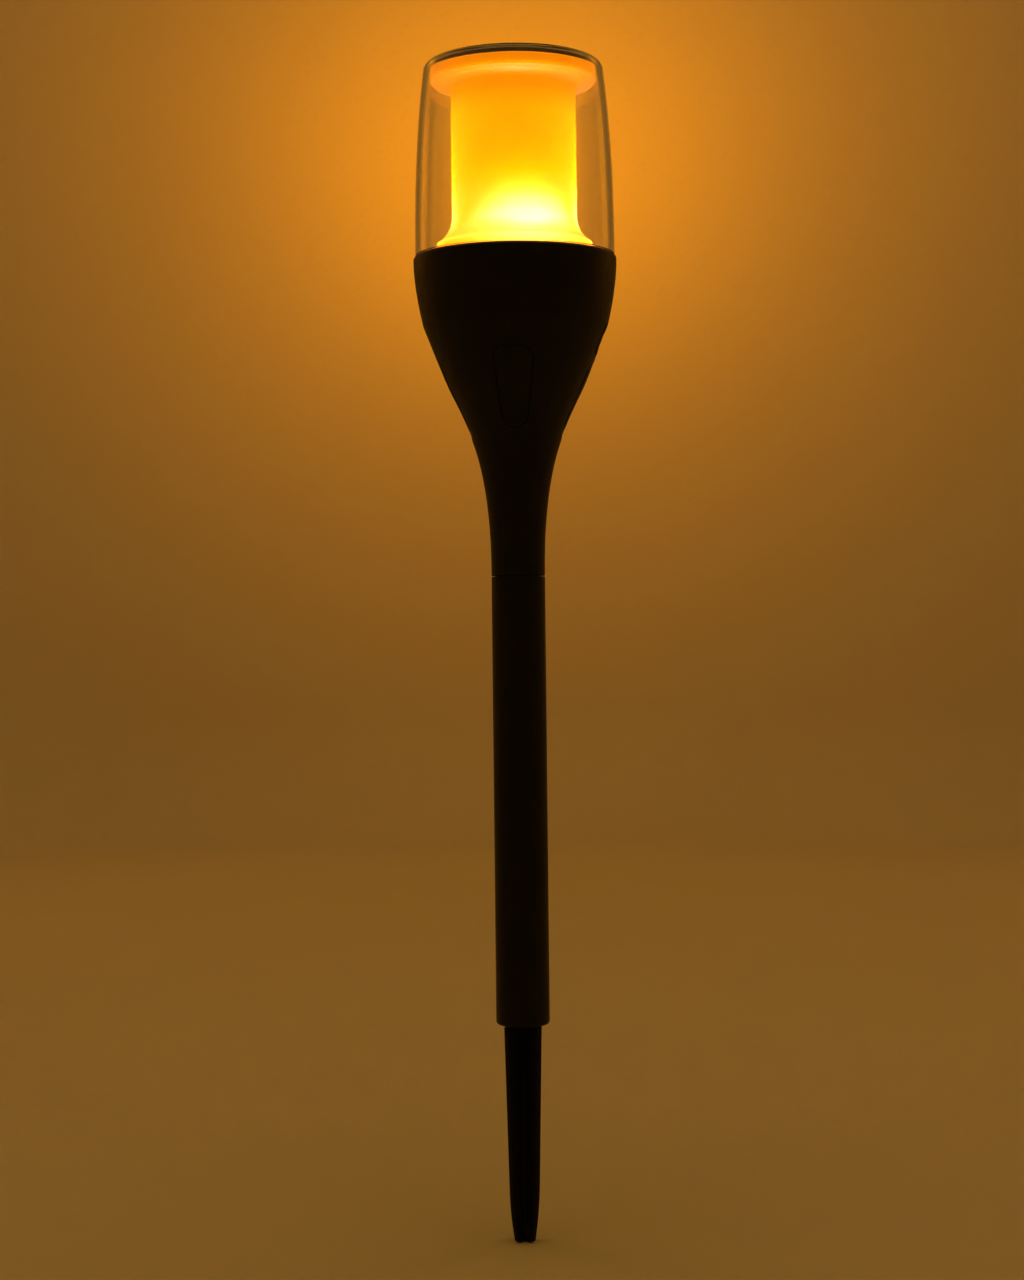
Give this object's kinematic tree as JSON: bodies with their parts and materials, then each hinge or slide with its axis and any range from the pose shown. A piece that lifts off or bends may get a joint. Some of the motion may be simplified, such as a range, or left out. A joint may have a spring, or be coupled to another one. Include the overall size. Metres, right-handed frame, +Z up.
{
  "type": "solar garden torch light",
  "caption": "Slim black solar torch light with a clear-covered frosted lamp on a cup-shaped head, a plain pole and a cross-bladed ground stake.",
  "frame": {"origin": "tip of the ground stake, on the torch's axis", "axes": "+Z up the pole, -Y the front with the front inlay, +X the side with the push button"},
  "size_m": [0.0812, 0.0812, 0.4704],
  "materials": {
    "black_plastic": "fine satin moulded grain",
    "pole_plastic": "smooth satin extruded",
    "stake_plastic": "plain moulded",
    "inlay_rubber": "matt soft-touch",
    "button_rubber": "matt soft-touch",
    "clear_plastic": "clear polished",
    "frosted_plastic": "frosted translucent, lit from inside",
    "seal_rubber": "matt",
    "deck_plastic": "plain moulded",
    "panel_frame_plastic": "semi-gloss",
    "solar_cell": "dark coated silicon under resin",
    "circuit_laminate": "solder-masked laminate",
    "led_resin": "clear warm resin, lit",
    "white_plastic": "plain moulded",
    "chip_plastic": "plain moulded",
    "coil_ferrite": "matt ferrite",
    "screw_steel": "zinc plated",
    "contact_steel": "nickel plated",
    "holder_plastic": "plain moulded",
    "battery_can": "plain printed sleeve on a steel can",
    "red_wire": "insulated wire",
    "black_wire": "insulated wire",
    "switch_plastic": "plain moulded"
  },
  "bodies": {
    "ground_stake": {"stake": "stake_plastic"},
    "pole": {"pole": "pole_plastic"},
    "head": {"torch_cup": "black_plastic", "inlay_front": "inlay_rubber", "inlay_right": "inlay_rubber", "inlay_back": "inlay_rubber", "inlay_left": "inlay_rubber", "cover_gasket": "seal_rubber", "diffuser": "frosted_plastic", "lamp_deck": "deck_plastic", "panel_frame": "panel_frame_plastic", "solar_cell": "solar_cell", "panel_wire_red": "red_wire", "panel_wire_black": "black_wire", "deck_screw_1": "screw_steel", "deck_screw_2": "screw_steel", "deck_screw_3": "screw_steel", "holder_screw_1": "screw_steel", "holder_screw_2": "screw_steel", "board_screw_1": "screw_steel", "board_screw_2": "screw_steel", "circuit_board": "circuit_laminate", "led": "led_resin", "led_spacer": "white_plastic", "led_lead_1": "contact_steel", "led_lead_2": "contact_steel", "controller_chip": "chip_plastic", "charge_coil": "coil_ferrite", "battery_holder": "holder_plastic", "battery": "battery_can", "contact_plate": "contact_steel", "contact_spring": "contact_steel", "battery_wire_red": "red_wire", "battery_wire_black": "black_wire", "switch_body": "switch_plastic", "switch_board": "circuit_laminate", "switch_screw_1": "screw_steel", "switch_screw_2": "screw_steel", "switch_wire_1": "red_wire", "switch_wire_2": "black_wire"},
    "cover": {"clear_cover": "clear_plastic"},
    "button": {"switch_button": "button_rubber"}
  },
  "joints": [
    {"name": "pole_lift", "type": "slide", "parent": "ground_stake", "child": "pole", "axis": [0, 0, 1], "range_m": [0, 0.03]},
    {"name": "head_lift", "type": "slide", "parent": "pole", "child": "head", "axis": [0, 0, 1], "range_m": [0, 0.03]},
    {"name": "cover_lift", "type": "slide", "parent": "head", "child": "cover", "axis": [0, 0, 1], "range_m": [0, 0.088]},
    {"name": "button_press", "type": "slide", "parent": "head", "child": "button", "axis": [-0.9272, 0, 0.3746], "range_m": [0, 0.001], "stiffness_N_per_m": 1500}
  ]
}
